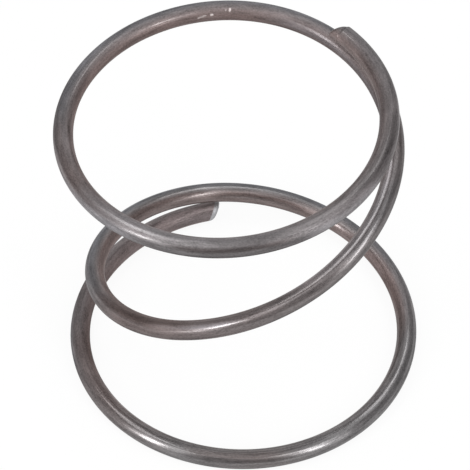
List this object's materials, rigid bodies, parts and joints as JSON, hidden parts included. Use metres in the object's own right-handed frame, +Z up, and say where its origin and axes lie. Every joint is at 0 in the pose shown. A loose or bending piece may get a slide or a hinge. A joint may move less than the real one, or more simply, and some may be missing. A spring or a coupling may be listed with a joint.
{
  "type": "compression spring",
  "caption": "Small compression spring of round wire, right-hand wound, with closed unground end coils, slanting sheared wire ends, and an open middle turn that is narrower than both.",
  "frame": {"origin": "on the plane the spring stands on, under the middle of its bounding box", "axes": "+Z up the spring from the lower end coil to the upper; the upper wire end points away between +X and +Y"},
  "size_m": [0.0366, 0.0366, 0.0325],
  "materials": {
    "drawn_wire": "satin grey-brown drawn spring wire, lightly tempered, with fine marks along the wire"
  },
  "bodies": {
    "root": {"spring_coil": "drawn_wire"}
  },
  "joints": []
}
